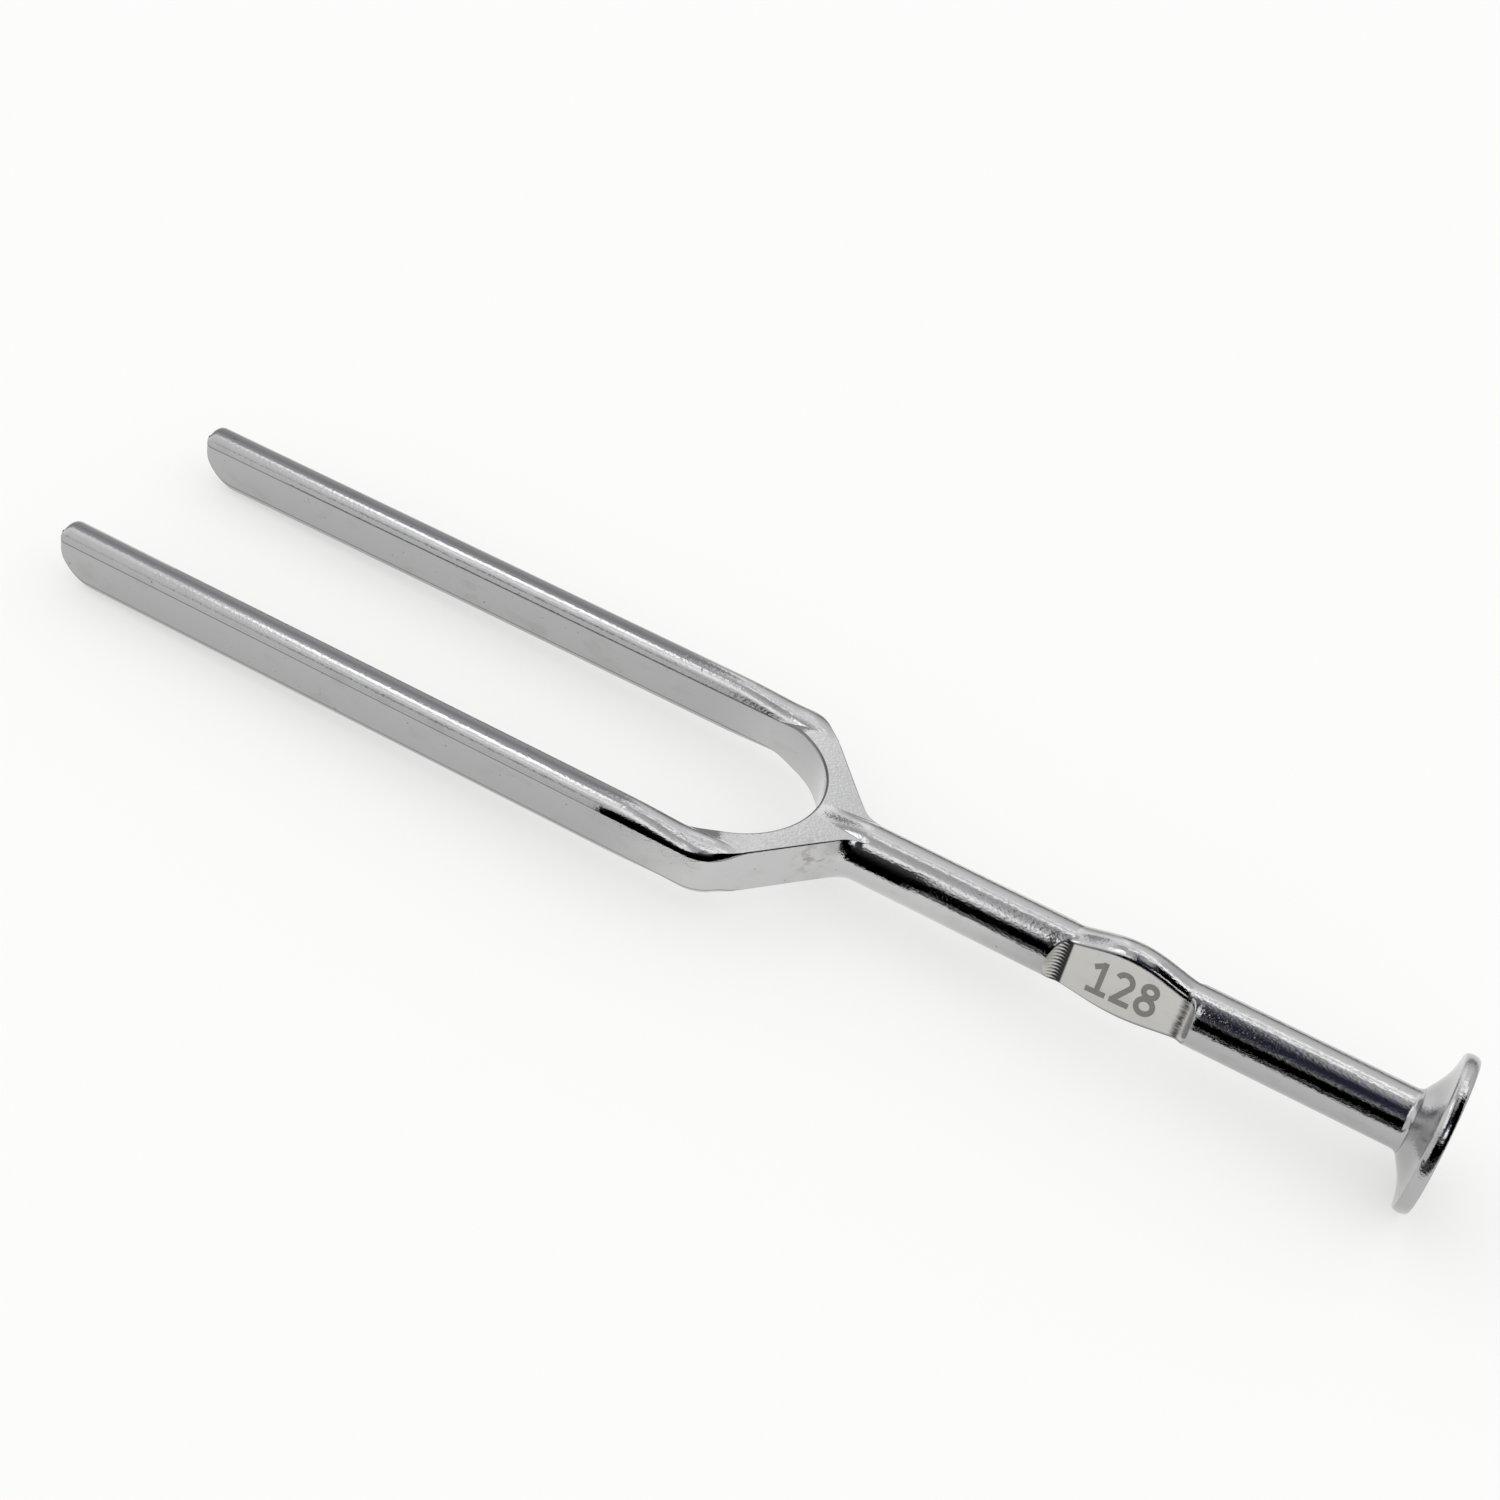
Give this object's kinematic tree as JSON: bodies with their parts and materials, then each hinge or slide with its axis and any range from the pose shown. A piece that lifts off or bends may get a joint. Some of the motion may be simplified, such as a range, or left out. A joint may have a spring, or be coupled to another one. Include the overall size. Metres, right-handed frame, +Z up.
{
  "type": "tuning fork",
  "caption": "Steel tuning fork with parallel prongs, a round-bottomed yoke, a round stem with a pressed thumb pad and a flared foot.",
  "frame": {"origin": "centre of the foot's flat sole, on the stem's axis", "axes": "+X along the stem from the foot to the prong tips, +Y from the axis towards the left prong, +Z up, square to the plane of the two prongs"},
  "size_m": [0.192, 0.0362, 0.021],
  "materials": {
    "forging": "polished plating with fine polishing lines; dark etched frequency number on the left thumb flat",
    "prongs": "polished plating with fine polishing lines",
    "foot": "polished plating"
  },
  "bodies": {
    "handle": {"yoke_and_stem": "forging", "foot": "foot"},
    "prong_left": {"prong_left": "prongs"},
    "prong_right": {"prong_right": "prongs"}
  },
  "joints": [
    {"name": "left_prong_swing", "type": "hinge", "parent": "handle", "child": "prong_left", "pos_m": [0.106, 0.0157, 0], "axis": [0, 0, 1], "range_deg": [-0.6, 0.6], "stiffness_Nm_per_rad": 38},
    {"name": "right_prong_swing", "type": "hinge", "parent": "handle", "child": "prong_right", "pos_m": [0.106, -0.0157, 0], "axis": [0, 0, 1], "range_deg": [-0.6, 0.6], "stiffness_Nm_per_rad": 38}
  ],
  "couplings": [
    {"joint": "right_prong_swing", "follows": "left_prong_swing", "ratio": -1}
  ]
}
